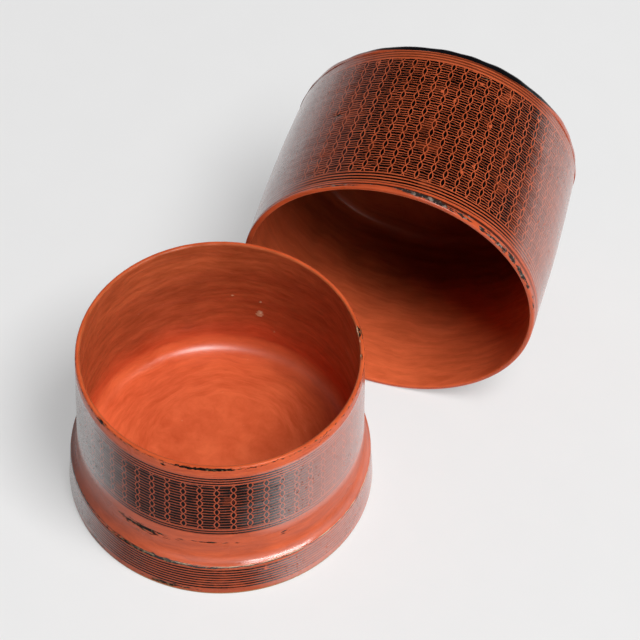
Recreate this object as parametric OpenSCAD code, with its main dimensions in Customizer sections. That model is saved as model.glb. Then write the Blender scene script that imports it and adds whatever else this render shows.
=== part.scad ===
// Round betel box of coiled bamboo under lacquer: a base on a flared foot, and a deep cover that slips over it.
// The base stands at the origin. Its cover has been taken off and lies on its side behind it.

/* [Base] */
// Outside diameter of the base at its lip
rim_d = 150; // [110:1:210]
// Height of the base, from the table to its lip
base_h = 101.5; // [80:0.5:150]
// Thickness of the base's wall, coats included
base_wall_t = 2.6; // [2:0.1:5]
// Slope of the walls of base and cover, in degrees
wall_draft = 1.1; // [0.5:0.1:2]
// Height of the hoop that makes the lip of the base
rim_hoop_h = 6.5; // [4:0.5:12]
// Rounding of the lips of base and cover
lip_round = 1; // [0.4:0.1:1.5]

/* [Floor] */
// Height of the inside floor above the table
floor_z = 15.5; // [10:0.5:20]
// Thickness of the floor's bamboo disc
floor_t = 3; // [2:0.5:6]
// Radius of the inside corner between floor and wall
floor_corner_r = 8; // [4:0.5:14]

/* [Foot] */
// Height of the shoulder of the foot above the table
shoulder_z = 22.4; // [18:0.2:30]
// How far the shoulder stands out from the wall
shoulder_out = 3.6; // [2:0.1:6]
// How much further out the foot is on the table
foot_flare = 1.4; // [0:0.1:4]
// Radius of the hollow cove between wall and shoulder
cove_r = 14; // [8:0.5:20]
// Height of the bare edge that is worn through above the table
foot_bare = 1; // [0.5:0.1:2]

/* [Cover] */
// Free height inside the closed cover above the lip of the base
headroom = 31; // [10:0.5:60]
// Thickness of the cover's wall, coats included
cover_wall_t = 2.6; // [2:0.1:5]
// Clearance between base and cover when the box is closed
slip_gap = 0.6; // [0.3:0.1:1.5]
// Height of the hoop that makes the lip of the cover
mouth_hoop_h = 5; // [3:0.5:12]
// Height of the black hoop round the top of the cover
top_hoop_h = 4; // [3:0.5:10]
// How far both hoops of the cover stand out from its wall
hoop_proud = 0.2; // [0.1:0.1:0.6]
// Rounding of the edge round the top of the cover
top_round = 2; // [0.5:0.1:2.2]
// Thickness of the bamboo disc that closes the cover
top_t = 3; // [2:0.5:6]
// Radius of the inside corner between the top and the wall of the cover
top_corner_r = 6; // [3:0.5:12]

/* [Coats] */
// Thickness of each coat of lacquer
coat = 0.3; // [0.2:0.05:0.5]
// Least thickness of the ash putty and of the foot ring at their thin edges
feather = 0.4; // [0.2:0.1:0.6]

/* [Cover laid aside] */
// Sideways distance between the axes of base and cover
cover_x = 69.3; // [40:0.1:120]
// Gap between the cover's lip and the shoulder of the base
cover_gap = 0.4; // [0.3:0.1:10]

/* [Hidden] */
$fn = 120;
arc_steps = 10;
bamboo = "#b58d58";
putty = "#4a4038";
vermilion = "#c9562d";
engraved = "#7a2e1a";
black = "#141216";

// Section of the base: radius of each face of the wall at height z
slope = tan(wall_draft);
function base_out(z) = rim_d / 2 + (base_h - z) * slope;
function base_in(z) = base_out(z) - base_wall_t;
function core_out(z) = base_out(z) - coat;
function core_in(z) = base_in(z) + coat;

// Levels of the base, from the lip down
hoop_z = base_h - rim_hoop_h;
disc_top_z = floor_z - coat;
disc_z = disc_top_z - floor_t;
under_z = disc_z - coat;
base_lip_r = min(lip_round, base_wall_t * 0.45);

// Cove: an arc that leaves the wall at its slope and ends at the shoulder
shoulder_r = base_out(shoulder_z) + shoulder_out;
cove_turn = acos(1 - shoulder_out * cos(wall_draft) / cove_r);
cove_end = wall_draft + cove_turn;
cove_at = [shoulder_r + cove_r * cos(cove_end), shoulder_z + cove_r * sin(cove_end)];
function foot_face(z) = shoulder_r + foot_flare * (shoulder_z - z) / shoulder_z;

// The foot ring's top edge, where the ring is as thin as the feather
ring_start = wall_draft + acos(1 - feather / (cove_r + coat));
ring_top_z = cove_at.y - (cove_r + coat) * sin(ring_start);

// Closed, the cover's lip seats on the cove where the clearance is used up
seat_turn = wall_draft + acos(1 - slip_gap * cos(wall_draft) / cove_r);
seat_z = cove_at.y - cove_r * sin(seat_turn);

// Section of the cover, mouth at height 0: radius of each face of the wall
cover_h = base_h - seat_z + headroom + top_t + 2 * coat;
function lid_in(z) = base_out(seat_z) + slip_gap - z * slope;
function lid_out(z) = lid_in(z) + cover_wall_t;
function lid_core_in(z) = lid_in(z) + coat;
function lid_core_out(z) = lid_out(z) - coat;
function lid_hoop(z) = lid_out(z) + hoop_proud;

// Levels of the cover, from its top down
lacquer_z = cover_h - coat;
top_disc_z = lacquer_z - top_t;
ceiling_z = top_disc_z - coat;
top_hoop_z = cover_h - top_hoop_h;
lid_lip_r = min(lip_round, cover_wall_t * 0.45);
top_hoop_t = lid_hoop(cover_h) - lid_core_in(cover_h);
top_edge_r = min(top_round, top_hoop_t * 0.9);

// Place of the cover on the table: it rests on both hoops, just clear of the shoulder.
// Its lip leans towards the base below its axis, because the wall is sloped.
lie_r = lid_hoop(0);
lip_reach = sqrt(lie_r ^ 2 - (lie_r - shoulder_z) ^ 2);
lip_corner_x = max(0, cover_x - lip_reach);
lip_lean = (lie_r - shoulder_z) * slope;
cover_y = sqrt((shoulder_r + cover_gap) ^ 2 - lip_corner_x ^ 2) + lip_lean;

// Points of an arc from one angle to another
function arc(at, r, from, to) = [
    for (i = [0 : arc_steps])
        let (a = from + (to - from) * i / arc_steps)
        [at.x + r * cos(a), at.y + r * sin(a)]
];
function reversed(points) = [for (i = [len(points) - 1 : -1 : 0]) points[i]];

// Cove arc, and the same arc under the coat where the foot ring's face lies
cove_face = arc(cove_at, cove_r, 180 + wall_draft, 180 + cove_end);
ring_face = concat(
    arc(cove_at, cove_r + coat, 180 + ring_start, 180 + cove_end),
    [[foot_face(shoulder_z - coat) - coat, shoulder_z - coat]]
);

// Inside corner of the base: centre of its arc, and the putty's face under the lining
floor_corner = [
    base_in(floor_z + floor_corner_r) - floor_corner_r / cos(wall_draft),
    floor_z + floor_corner_r
];
floor_putty_r = floor_corner_r + coat;
floor_trim = acos(1 - feather / floor_putty_r);
floor_putty_face = arc(floor_corner, floor_putty_r, wall_draft - floor_trim, floor_trim - 90);
floor_putty_top = floor_putty_face[0].y;
floor_putty_in = floor_putty_face[arc_steps].x;

// Inside corner of the cover, the same way
top_corner = [
    lid_in(ceiling_z - top_corner_r) - top_corner_r / cos(wall_draft),
    ceiling_z - top_corner_r
];
top_putty_r = top_corner_r + coat;
top_trim = acos(1 - feather / top_putty_r);
top_putty_face = arc(top_corner, top_putty_r, wall_draft + top_trim, 90 - top_trim);
top_putty_low = top_putty_face[0].y;
top_putty_in = top_putty_face[arc_steps].x;

// Turns a section round the axis
module turned(points) {
    rotate_extrude()
        polygon(points);
}

// Lays the cover on its side, mouth towards the base
module laid_aside() {
    translate([cover_x, cover_y, lie_r * cos(wall_draft)])
        rotate([-90 - wall_draft, 0, 0])
            children();
}

// Coiled bamboo wall of the base
module base_wall() {
    color(bamboo)
        turned([
            [core_in(disc_z), disc_z],
            [core_out(disc_z), disc_z],
            [core_out(hoop_z), hoop_z],
            [core_in(hoop_z), hoop_z]
        ]);
}

// Coiled bamboo disc that closes the base
module base_floor() {
    color(bamboo)
        turned([
            [0, disc_z],
            [core_in(disc_z), disc_z],
            [core_in(disc_top_z), disc_top_z],
            [0, disc_top_z]
        ]);
}

// Flared ring of bamboo coils that carries the box
module base_foot_ring() {
    color(bamboo)
        turned(concat(
            ring_face,
            [
                [foot_face(0) - coat, 0],
                [core_out(0), 0],
                [core_out(ring_top_z), ring_top_z]
            ]
        ));
}

// Lacquered bamboo hoop that makes the lip of the base
module base_rim_hoop() {
    lip_z = base_h - base_lip_r;
    color(vermilion)
        turned(concat(
            [
                [base_in(hoop_z), hoop_z],
                [base_out(hoop_z), hoop_z]
            ],
            arc([base_out(lip_z) - base_lip_r, lip_z], base_lip_r, 0, 90),
            arc([base_in(lip_z) + base_lip_r, lip_z], base_lip_r, 90, 180)
        ));
}

// Ash putty that rounds the inside corner of the base
module base_corner_putty() {
    color(putty)
        turned(concat(
            floor_putty_face,
            [
                [floor_putty_in, disc_top_z],
                [core_in(disc_top_z), disc_top_z],
                [core_in(floor_putty_top), floor_putty_top]
            ]
        ));
}

// Engraved coat on the outside of the base, from the hoop to the foot's worn edge
module base_outer_lacquer() {
    color(engraved)
        turned(concat(
            [[base_out(hoop_z), hoop_z]],
            cove_face,
            [
                [foot_face(foot_bare), foot_bare],
                [foot_face(foot_bare) - coat, foot_bare]
            ],
            reversed(ring_face),
            [
                [core_out(ring_top_z), ring_top_z],
                [core_out(hoop_z), hoop_z]
            ]
        ));
}

// Plain coat on the inside of the base
module base_inner_lining() {
    color(vermilion)
        turned(concat(
            [[base_in(hoop_z), hoop_z]],
            arc(floor_corner, floor_corner_r, wall_draft, -90),
            [
                [0, floor_z],
                [0, disc_top_z],
                [floor_putty_in, disc_top_z]
            ],
            reversed(floor_putty_face),
            [
                [core_in(floor_putty_top), floor_putty_top],
                [core_in(hoop_z), hoop_z]
            ]
        ));
}

// Black coat under the base, inside the foot ring
module base_underside_lacquer() {
    color(black)
        turned([
            [0, under_z],
            [core_out(under_z) - coat, under_z],
            [core_out(foot_bare) - coat, foot_bare],
            [core_out(foot_bare), foot_bare],
            [core_out(disc_z), disc_z],
            [0, disc_z]
        ]);
}

// Coiled bamboo wall of the cover
module cover_wall() {
    color(bamboo)
        laid_aside()
            turned([
                [lid_core_in(mouth_hoop_h), mouth_hoop_h],
                [lid_core_out(mouth_hoop_h), mouth_hoop_h],
                [lid_core_out(top_hoop_z), top_hoop_z],
                [lid_core_in(top_hoop_z), top_hoop_z]
            ]);
}

// Coiled bamboo disc that closes the cover
module cover_top_disc() {
    color(bamboo)
        laid_aside()
            turned([
                [0, top_disc_z],
                [lid_core_in(top_disc_z), top_disc_z],
                [lid_core_in(lacquer_z), lacquer_z],
                [0, lacquer_z]
            ]);
}

// Lacquered bamboo hoop that makes the lip of the cover
module cover_mouth_hoop() {
    color(vermilion)
        laid_aside()
            turned(concat(
                arc([lid_in(lid_lip_r) + lid_lip_r, lid_lip_r], lid_lip_r, 180, 270),
                arc([lid_hoop(lid_lip_r) - lid_lip_r, lid_lip_r], lid_lip_r, 270, 360),
                [
                    [lid_hoop(mouth_hoop_h), mouth_hoop_h],
                    [lid_in(mouth_hoop_h), mouth_hoop_h]
                ]
            ));
}

// Black lacquered hoop round the edge of the top
module cover_top_hoop() {
    edge_z = cover_h - top_edge_r;
    color(black)
        laid_aside()
            turned(concat(
                [
                    [lid_core_in(top_hoop_z), top_hoop_z],
                    [lid_hoop(top_hoop_z), top_hoop_z]
                ],
                arc([lid_hoop(edge_z) - top_edge_r, edge_z], top_edge_r, 0, 90),
                [[lid_core_in(cover_h), cover_h]]
            ));
}

// Ash putty that rounds the inside corner of the cover
module cover_corner_putty() {
    color(putty)
        laid_aside()
            turned(concat(
                top_putty_face,
                [
                    [top_putty_in, top_disc_z],
                    [lid_core_in(top_disc_z), top_disc_z],
                    [lid_core_in(top_putty_low), top_putty_low]
                ]
            ));
}

// Engraved coat on the outside of the cover, between its two hoops
module cover_outer_lacquer() {
    color(engraved)
        laid_aside()
            turned([
                [lid_core_out(mouth_hoop_h), mouth_hoop_h],
                [lid_out(mouth_hoop_h), mouth_hoop_h],
                [lid_out(top_hoop_z), top_hoop_z],
                [lid_core_out(top_hoop_z), top_hoop_z]
            ]);
}

// Plain coat on the inside of the cover
module cover_inner_lining() {
    color(vermilion)
        laid_aside()
            turned(concat(
                [[lid_in(mouth_hoop_h), mouth_hoop_h]],
                arc(top_corner, top_corner_r, wall_draft, 90),
                [
                    [0, ceiling_z],
                    [0, top_disc_z],
                    [top_putty_in, top_disc_z]
                ],
                reversed(top_putty_face),
                [
                    [lid_core_in(top_putty_low), top_putty_low],
                    [lid_core_in(mouth_hoop_h), mouth_hoop_h]
                ]
            ));
}

// Black coat on the top of the cover, inside the hoop
module cover_top_lacquer() {
    color(black)
        laid_aside()
            turned([
                [0, lacquer_z],
                [lid_core_in(lacquer_z), lacquer_z],
                [lid_core_in(cover_h), cover_h],
                [0, cover_h]
            ]);
}

base_wall();
base_floor();
base_foot_ring();
base_rim_hoop();
base_corner_putty();
base_outer_lacquer();
base_inner_lining();
base_underside_lacquer();
cover_wall();
cover_top_disc();
cover_mouth_hoop();
cover_top_hoop();
cover_corner_putty();
cover_outer_lacquer();
cover_inner_lining();
cover_top_lacquer();
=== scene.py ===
# %% [markdown]
# # A lacquered betel box, from bamboo strip to polished engraving
# The box is a turned thing in two halves: a base on a flared foot, and a deep cover that lies beside it.
# Its walls are bamboo strip wound in coils, filled with ash putty and coated with vermilion lacquer. The
# CAD model gives every piece its size and place. Here each visible coat is made again as a finer mesh,
# with the unevenness, chips and engraving that the hand leaves, and each one replaces its CAD node.

# %% Load the frame
import math

import bmesh
import bpy
from mathutils import Matrix, Vector, noise


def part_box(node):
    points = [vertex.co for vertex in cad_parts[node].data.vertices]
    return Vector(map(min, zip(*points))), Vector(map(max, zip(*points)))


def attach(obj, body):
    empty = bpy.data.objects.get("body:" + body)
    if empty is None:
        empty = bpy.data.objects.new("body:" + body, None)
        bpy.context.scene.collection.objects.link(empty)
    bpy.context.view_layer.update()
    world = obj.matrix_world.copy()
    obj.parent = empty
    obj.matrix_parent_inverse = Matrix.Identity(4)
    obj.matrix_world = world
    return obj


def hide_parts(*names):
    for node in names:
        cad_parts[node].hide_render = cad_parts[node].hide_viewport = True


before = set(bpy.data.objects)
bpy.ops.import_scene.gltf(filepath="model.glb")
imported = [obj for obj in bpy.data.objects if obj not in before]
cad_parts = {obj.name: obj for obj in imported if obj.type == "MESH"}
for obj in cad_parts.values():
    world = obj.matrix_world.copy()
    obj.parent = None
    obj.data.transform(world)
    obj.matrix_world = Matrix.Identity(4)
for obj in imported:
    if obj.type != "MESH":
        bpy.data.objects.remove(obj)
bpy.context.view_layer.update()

# %% [markdown]
# ## The sizes of the box
# A turner works from a few radii and heights, and so does this script. They repeat the driving sizes of
# the CAD model, in metres. The walls slope a little, so that the cover slips on easily, and the radius of
# each face follows from its height. The foot swells out below the wall in a hollow cove that ends at a
# sharp shoulder.

# %% Sizes of the base
MM = 0.001
RIM_R = 75 * MM
BASE_H = 101.5 * MM
WALL_T = 2.6 * MM
DRAFT = math.radians(1.1)
SLOPE = math.tan(DRAFT)
RIM_HOOP_H = 6.5 * MM
LIP_ROUND = 1 * MM
FLOOR_Z = 15.5 * MM
FLOOR_CORNER_R = 8 * MM
SHOULDER_Z = 22.4 * MM
SHOULDER_OUT = 3.6 * MM
FOOT_FLARE = 1.4 * MM
COVE_R = 14 * MM
FOOT_BARE = 1 * MM
COAT = 0.3 * MM
DISC_T = 3 * MM


def base_out(z):
    """Outside radius of the base's wall at height z."""
    return RIM_R + (BASE_H - z) * SLOPE


def base_in(z):
    """Inside radius of the base's wall at height z."""
    return base_out(z) - WALL_T


HOOP_Z = BASE_H - RIM_HOOP_H
UNDER_Z = FLOOR_Z - DISC_T - 2 * COAT
SHOULDER_R = base_out(SHOULDER_Z) + SHOULDER_OUT
COVE_END = DRAFT + math.acos(1 - SHOULDER_OUT * math.cos(DRAFT) / COVE_R)
COVE_AT = (SHOULDER_R + COVE_R * math.cos(COVE_END), SHOULDER_Z + COVE_R * math.sin(COVE_END))
COVE_TOP = COVE_AT[1] - COVE_R * math.sin(DRAFT)
FOOT_R = SHOULDER_R + FOOT_FLARE
print(f"shoulder {SHOULDER_R / MM:.1f} mm, foot {FOOT_R / MM:.1f} mm, cove below {COVE_TOP / MM:.1f} mm")

# %% [markdown]
# ## The sizes of the cover
# The cover is drawn standing on its mouth, with heights counted from the mouth to the top. It is then
# laid on its side, so that it rests on its two proud hoops. Closed, its lip would seat on the cove of the
# base where the clearance between the walls is used up, and that sets its radius and its depth.

# %% Sizes of the cover
HEADROOM = 31 * MM
SLIP_GAP = 0.6 * MM
MOUTH_HOOP_H = 5 * MM
TOP_HOOP_H = 4 * MM
HOOP_PROUD = 0.2 * MM
TOP_ROUND = 2 * MM
TOP_CORNER_R = 6 * MM

SEAT_TURN = DRAFT + math.acos(1 - SLIP_GAP * math.cos(DRAFT) / COVE_R)
SEAT_Z = COVE_AT[1] - COVE_R * math.sin(SEAT_TURN)
COVER_H = BASE_H - SEAT_Z + HEADROOM + DISC_T + 2 * COAT
CEILING_Z = COVER_H - DISC_T - 2 * COAT
TOP_HOOP_Z = COVER_H - TOP_HOOP_H


def lid_in(z):
    """Inside radius of the cover's wall at height z above its mouth."""
    return base_out(SEAT_Z) + SLIP_GAP - z * SLOPE


def lid_out(z):
    """Outside radius of the cover's wall at height z above its mouth."""
    return lid_in(z) + WALL_T


mouth_low, mouth_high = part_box("cover_mouth_hoop")
LIE_R = lid_out(0) + HOOP_PROUD
COVER_X = (mouth_low.x + mouth_high.x) / 2
TOP_FAR_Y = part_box("cover_top_hoop")[1].y
TOP_FLAT_R = lid_out(COVER_H) + HOOP_PROUD - TOP_ROUND
COVER_Y = TOP_FAR_Y - COVER_H * math.cos(DRAFT) - TOP_FLAT_R * math.sin(DRAFT)
LAID_ASIDE = Matrix.Translation((COVER_X, COVER_Y, LIE_R * math.cos(DRAFT)))
LAID_ASIDE = LAID_ASIDE @ Matrix.Rotation(-math.pi / 2 - DRAFT, 4, "X")
print(f"cover {COVER_H / MM:.1f} mm deep, mouth at x {COVER_X / MM:.1f} mm, y {COVER_Y / MM:.1f} mm")

# %% [markdown]
# ## Turning a section
# Every piece is round, so each one starts as half a section: a few points in the plane y = 0, joined by
# edges. A Screw modifier could turn it, but bmesh's spin does the same at once, and the result is a plain
# mesh whose points can then be moved. An eighth is spun and then doubled three times, which is much
# quicker than a full spin of hundreds of steps. The straight stretches are cut up first, so that there is
# something to move. Each point keeps its distance along the section. That distance and the turn round the
# axis become a UV map, which the engraving follows.

# %% Spin a section into a piece
BACK_SPACING = 10 * MM
MERGE = 0.001 * MM
NEAR_AXIS = 0.01 * MM
# Hidden points keep the distance 0, so the shown ones start just above it
FIRST = 0.01 * MM


def arc(at, radius, start, end, steps=10):
    """Points of an arc round a centre, from one angle to another."""
    angles = [start + (end - start) * i / steps for i in range(steps + 1)]
    return [(at[0] + radius * math.cos(a), at[1] + radius * math.sin(a)) for a in angles]


def turned(face, back, spacing=1.2 * MM, turns=360, start=FIRST):
    """A bmesh of a closed shell: face holds the points of its shown side, back those of its hidden side."""
    bm = bmesh.new()
    along = bm.verts.layers.float.new("along")
    verts = [bm.verts.new((r, 0, z)) for r, z in face + back]
    distance = start
    for i, vert in enumerate(verts[:len(face)]):
        distance += (vert.co - verts[i - 1].co).length if i else 0
        vert[along] = distance
    for i, vert in enumerate(verts):
        follower = verts[(i + 1) % len(verts)]
        if vert.co.x > 0 or follower.co.x > 0:
            bm.edges.new((vert, follower))
    while True:
        shown = [e for e in bm.edges if min(v[along] for v in e.verts) > 0]
        hidden = [e for e in bm.edges if max(v[along] for v in e.verts) == 0]
        long = [e for e in shown if e.calc_length() > spacing]
        long += [e for e in hidden if e.calc_length() > BACK_SPACING]
        if not long:
            break
        bmesh.ops.subdivide_edges(bm, edges=long, cuts=1)
    bmesh.ops.spin(
        bm, geom=bm.verts[:] + bm.edges[:], cent=(0, 0, 0), axis=(0, 0, 1), dvec=(0, 0, 0),
        angle=math.tau / 8, steps=turns // 8, use_merge=False, use_duplicate=False)
    for part in (8, 4, 2):
        copy = bmesh.ops.duplicate(bm, geom=bm.verts[:] + bm.edges[:] + bm.faces[:])["geom"]
        copied = [element for element in copy if isinstance(element, bmesh.types.BMVert)]
        bmesh.ops.rotate(bm, verts=copied, cent=(0, 0, 0), matrix=Matrix.Rotation(math.tau / part, 3, "Z"))
    bmesh.ops.remove_doubles(bm, verts=bm.verts, dist=MERGE)
    bmesh.ops.recalc_face_normals(bm, faces=bm.faces)
    return bm


def turn_of(co):
    """Angle of a point round the axis, in radians."""
    return math.atan2(co.y, co.x)


def unwrap(bm):
    """Writes the UV map: turns round the axis, and metres along the section."""
    along = bm.verts.layers.float["along"]
    uv = bm.loops.layers.uv.new("turned")
    for face in bm.faces:
        middle = turn_of(face.calc_center_median())
        for loop in face.loops:
            co = loop.vert.co
            on_axis = co.x ** 2 + co.y ** 2 < NEAR_AXIS ** 2
            off = 0 if on_axis else (turn_of(co) - middle + math.pi) % math.tau - math.pi
            loop[uv].uv = ((middle + off) / math.tau, loop.vert[along])


TRIAL = arc((10 * MM, 0), 2 * MM, 0, math.tau, 8)[:-1]
trial = turned(TRIAL, [], turns=16)
print("a trial ring has", len(trial.verts), "points and", len(trial.faces), "faces")
trial.free()

# %% [markdown]
# ## The marks of use
# Old lacquer chips at the lips and rubs through at the shoulder, and the black under-coat shows there.
# Such marks have a place, so they are listed by it: degrees round the axis, distance along the section,
# half length and half height. They become a point attribute named worn, which the material reads, and
# they sink the surface a little. A negative strength is a drip or a mend that lies on top. A little noise
# stands for the coils under the coat.

# %% Press marks and coils into a piece
WANDER_SIZE = 50 * MM
RIDGE_SIZE = 60 * MM
GRAIN_SIZE = 1.5 * MM
DRIP_MOST = 0.6
# Share of the ridges that is lost where a face lies flat, because coils there were pressed level
FLAT_LOSES = 0.92


def wear(bm, marks, radius):
    """Fills the attribute worn from marks: (degrees, along, half length, half height, strength), in mm."""
    along = bm.verts.layers.float["along"]
    worn = bm.verts.layers.float.new("worn")
    for vert in bm.verts:
        turn = turn_of(vert.co)
        total = 0.0
        for degrees, place, half_length, half_height, strength in marks:
            off = (turn - math.radians(degrees) + math.pi) % math.tau - math.pi
            up = vert[along] - place * MM
            reach = math.hypot(off * radius / (half_length * MM), up / (half_height * MM))
            if reach < 2:
                total += strength * (1 - reach / 2)
        vert[worn] = max(-1.0, min(1.0, total))


def roughen(bm, coil=0.0, dent=0.0, chip=0.0, pitch=4 * MM, lump=30 * MM, seed=0.0):
    """Moves points along their normals: coil ridges, soft dents, and hollows where the coat is worn."""
    along = bm.verts.layers.float["along"]
    worn = bm.verts.layers.float["worn"]
    bm.normal_update()
    for vert in bm.verts:
        if vert.normal.length < 0.5 or vert[along] == 0:
            continue
        co = vert.co
        wander = noise.noise(Vector((co.x / WANDER_SIZE, co.y / WANDER_SIZE, seed)))
        across = vert[along] / pitch + seed + wander
        ridge = noise.noise(Vector((co.x / RIDGE_SIZE, co.y / RIDGE_SIZE, across)))
        soft = noise.noise(co / lump + Vector((seed, 0, 0)))
        grain = noise.noise(co / GRAIN_SIZE)
        sunk = chip * max(-DRIP_MOST, min(1.0, vert[worn])) * (1 + grain)
        steep = 1 - FLAT_LOSES * abs(vert.normal.z)
        vert.co = co + vert.normal * (coil * ridge * steep + dent * soft - sunk)


trial = turned(TRIAL, [], turns=16)
wear(trial, [(0, 3, 4, 2, 1.0)], 12 * MM)
touched = [vert for vert in trial.verts if vert[trial.verts.layers.float["worn"]] > 0]
print("a mark touches", len(touched), "of the trial ring's", len(trial.verts), "points")
trial.free()

# %% [markdown]
# ## The cover is out of true
# Bamboo moves as it dries, and this cover has pulled: its wall bellies out at the sides by a millimetre
# or so, and beyond its lip it has run out of square by some three. A Lattice or Simple Deform modifier
# could bend it. A function of a few lines is simpler here, because the hidden pieces in the wall have to
# follow it too.

# %% Bend the cover and lay it on its side
BELLY = 0.017
RUN_OUT = 0.042
LIP_STAYS = 5 * MM


def pulled(co):
    """Place of a cover's point, drawn standing on its mouth, after the bamboo has moved."""
    share = max(0.0, min(1.0, co.z / LIP_STAYS))
    belly = 1 + BELLY * math.sin(math.pi * max(0.0, min(1.0, co.z / COVER_H)))
    return Vector((co.x * belly, co.y, co.z + RUN_OUT * co.x * share))


def lay_aside(bm):
    """Bends a cover's piece and moves it to where the cover lies."""
    for vert in bm.verts:
        vert.co = pulled(vert.co)
    bmesh.ops.transform(bm, matrix=LAID_ASIDE, verts=bm.verts)


print("cover runs out of square by", round(RUN_OUT * lid_out(COVER_H) / MM, 1), "mm either way")

# %% [markdown]
# ## From bmesh to a piece of the box
# A finished piece is a mesh object at the origin. It gets its material, rides on its body and stands for
# its CAD node, which it hides. Smooth shading suits lacquer, and edges sharper than 40 degrees stay
# crisp.

# %% Finish a piece
CRISP = math.radians(40)


def finish_piece(name, bm, materials, body, node):
    """Makes the object and ties it to the frame."""
    mesh = bpy.data.meshes.new(name)
    bm.to_mesh(mesh)
    bm.free()
    mesh.shade_smooth()
    mesh.set_sharp_from_angle(angle=CRISP)
    for material in materials:
        mesh.materials.append(material)
    piece = bpy.data.objects.new(name, mesh)
    bpy.context.scene.collection.objects.link(piece)
    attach(piece, body)
    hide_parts(node)
    print(name, "has", len(mesh.polygons), "faces")
    return piece


print("edges sharper than", round(math.degrees(CRISP)), "degrees stay crisp")

# %% [markdown]
# ## Nodes and colours
# Materials are graphs of nodes, and one small function adds a node, sets it and wires its inputs. Colours
# are written as they look on a screen, in hex, and turned to the linear values that light is reckoned in.

# %% Helpers for materials


def add(tree, kind, wires=None, out=0, **settings):
    """Adds a node, with its settings and its inputs, and returns one of its outputs."""
    node = tree.nodes.new("ShaderNode" + kind)
    for name, value in settings.items():
        setattr(node, name, value)
    for key, value in (wires or {}).items():
        if isinstance(value, bpy.types.NodeSocket):
            tree.links.new(value, node.inputs[key])
        else:
            node.inputs[key].default_value = value
    return node.outputs[out] if len(node.outputs) else node


def linear(code):
    """Linear colour of an sRGB hex value."""
    parts = [int(code[i:i + 2], 16) / 255 for i in (1, 3, 5)]
    return tuple(c / 12.92 if c <= 0.04045 else ((c + 0.055) / 1.055) ** 2.4 for c in parts) + (1.0,)


def new_material(name):
    """An empty material and its node tree."""
    material = bpy.data.materials.new(name)
    material.use_nodes = True
    material.node_tree.nodes.clear()
    return material, material.node_tree


print("vermilion in linear light:", [round(c, 3) for c in linear("#C8552C")])

# %% [markdown]
# ## Engraving by numbers
# The outside is engraved with an iron point and black is rubbed in, so that thin vermilion lines are left
# standing: chains of oval links, hatching between the chains, and rings at the borders. A picture could
# hold the pattern, but it would blur and repeat. Here each mark is a formula in millimetres on the UV map
# that unrolls the wall: a chain is two strands that swing apart and cross, a hatch line is a stripe that
# stops at the chains, and a ring is a stripe round the box. First come the measures of each pattern, as
# counted and measured in the photo.

# %% Measures of the patterns
# Heights, links, strands, swings and hatching are in mm, and line is half the share of the hatch's pitch
# that stays vermilion. Rings are (low, high, number, strength). Stains are zones with black wiped over
# them (low, high, strength), and the fades are stretches of x, in mm, over which the black is painted
# thin: a painted sheen on the flanks, where the haze washes the pattern out.
COVER_SHEEN_FADES = [(35, -5), (126, 146)]
BASE_CUT = {
    "columns": 55, "radius": 75.5, "link": 5.35, "strand": 0.58, "swing": 1.35, "bow": 0.0,
    "hatch": 2.25, "line": 0.075, "field": (51.3, 88.4), "fill": "#0E0605",
    "rings": [(88.8, 94.7, 3, 1.0), (46.7, 50.5, 2, 1.0), (4.2, 20.2, 8, 1.0)],
    "stains": [(46.4, 88.6, 0.28), (88.6, 94.7, 0.15), (0.5, 21.0, 0.26)], "sheen_fades": [(46, 68)]}
# The cover's real hatching is some 1.5 mm apart, too fine to show, so it is drawn a little coarser
COVER_CUT = {
    "columns": 71, "radius": 78.5, "link": 6.2, "strand": 0.5, "swing": 1.1, "bow": 0.5,
    "hatch": 1.75, "line": 0.11, "field": (12.3, 97.9), "fill": "#0A0403",
    "rings": [(3.8, 12.2, 4, 1.0), (98.7, 104.4, 3, 0.7)], "stains": [], "sheen_fades": COVER_SHEEN_FADES}
LID_LIP_CUT = {
    "fill": "#0E0605", "rings": [(8.9, 10.9, 1, 0.9), (11.2, 13.2, 1, 0.9)],
    "stains": [], "sheen_fades": COVER_SHEEN_FADES}
for cut in (BASE_CUT, COVER_CUT):
    cut["width"] = math.tau * cut["radius"] / cut["columns"]
    print(cut["columns"], "columns,", round(cut["width"], 2), "mm apart")

# %% [markdown]
# ## Rings and wiped-over black
# Rings are cut while the piece turns, so they are even. A ping-pong node folds the height into a zigzag,
# and a map range cuts the zigzag off to lines with soft edges. The black that was wiped over the borders
# is a plain band.

# %% Draw rings and bands
RING_STARTS = 0.14
RING_FULL = 0.27
STAIN_EDGE = 0.3


def band(tree, height, low, high, edge, strength=1.0):
    """A mask between two heights, with soft edges."""
    above = add(tree, "MapRange", {0: height, 1: low - edge, 2: low + edge, 4: strength})
    below = add(tree, "MapRange", {0: height, 1: high + edge, 2: high - edge})
    return add(tree, "Math", {0: above, 1: below}, operation="MULTIPLY")


def ring_lines(tree, cut, height, mask):
    """Adds a pattern's rings and stains to a mask."""
    for low, high, count, strength in cut["rings"]:
        ring = add(tree, "MapRange", {0: height, 1: low, 2: high, 3: 0, 4: count})
        ring = add(tree, "Math", {0: ring, 1: 0.5}, operation="PINGPONG")
        ring = add(tree, "MapRange", {0: ring, 1: RING_STARTS, 2: RING_FULL, 4: strength})
        mask = add(tree, "Math", {0: mask, 1: ring}, operation="MAXIMUM")
    for low, high, strength in cut["stains"]:
        zone = band(tree, height, low, high, STAIN_EDGE, strength)
        mask = add(tree, "Math", {0: mask, 1: zone}, operation="MAXIMUM")
    return mask


print("rings on the base:", sum(ring[2] for ring in BASE_CUT["rings"]))

# %% [markdown]
# ## Chains and hatching
# The width of the wall is counted in columns, and the fraction left over tells where in its column a
# point lies. The cosine of the height gives a strand's swing, so two strands at plus and minus the swing
# make oval links. White noise on the column's number gives each chain, and each gap between chains, a
# start of its own, as a hand does.

# %% Draw chains and hatching
ROUNDNESS = 0.9
STRAND_EDGE = 0.12
GAP_DRAW = 0.37
SWAY = 0.8
HATCH_EDGE = 0.05
HATCH_UNEVEN = 0.22


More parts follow.
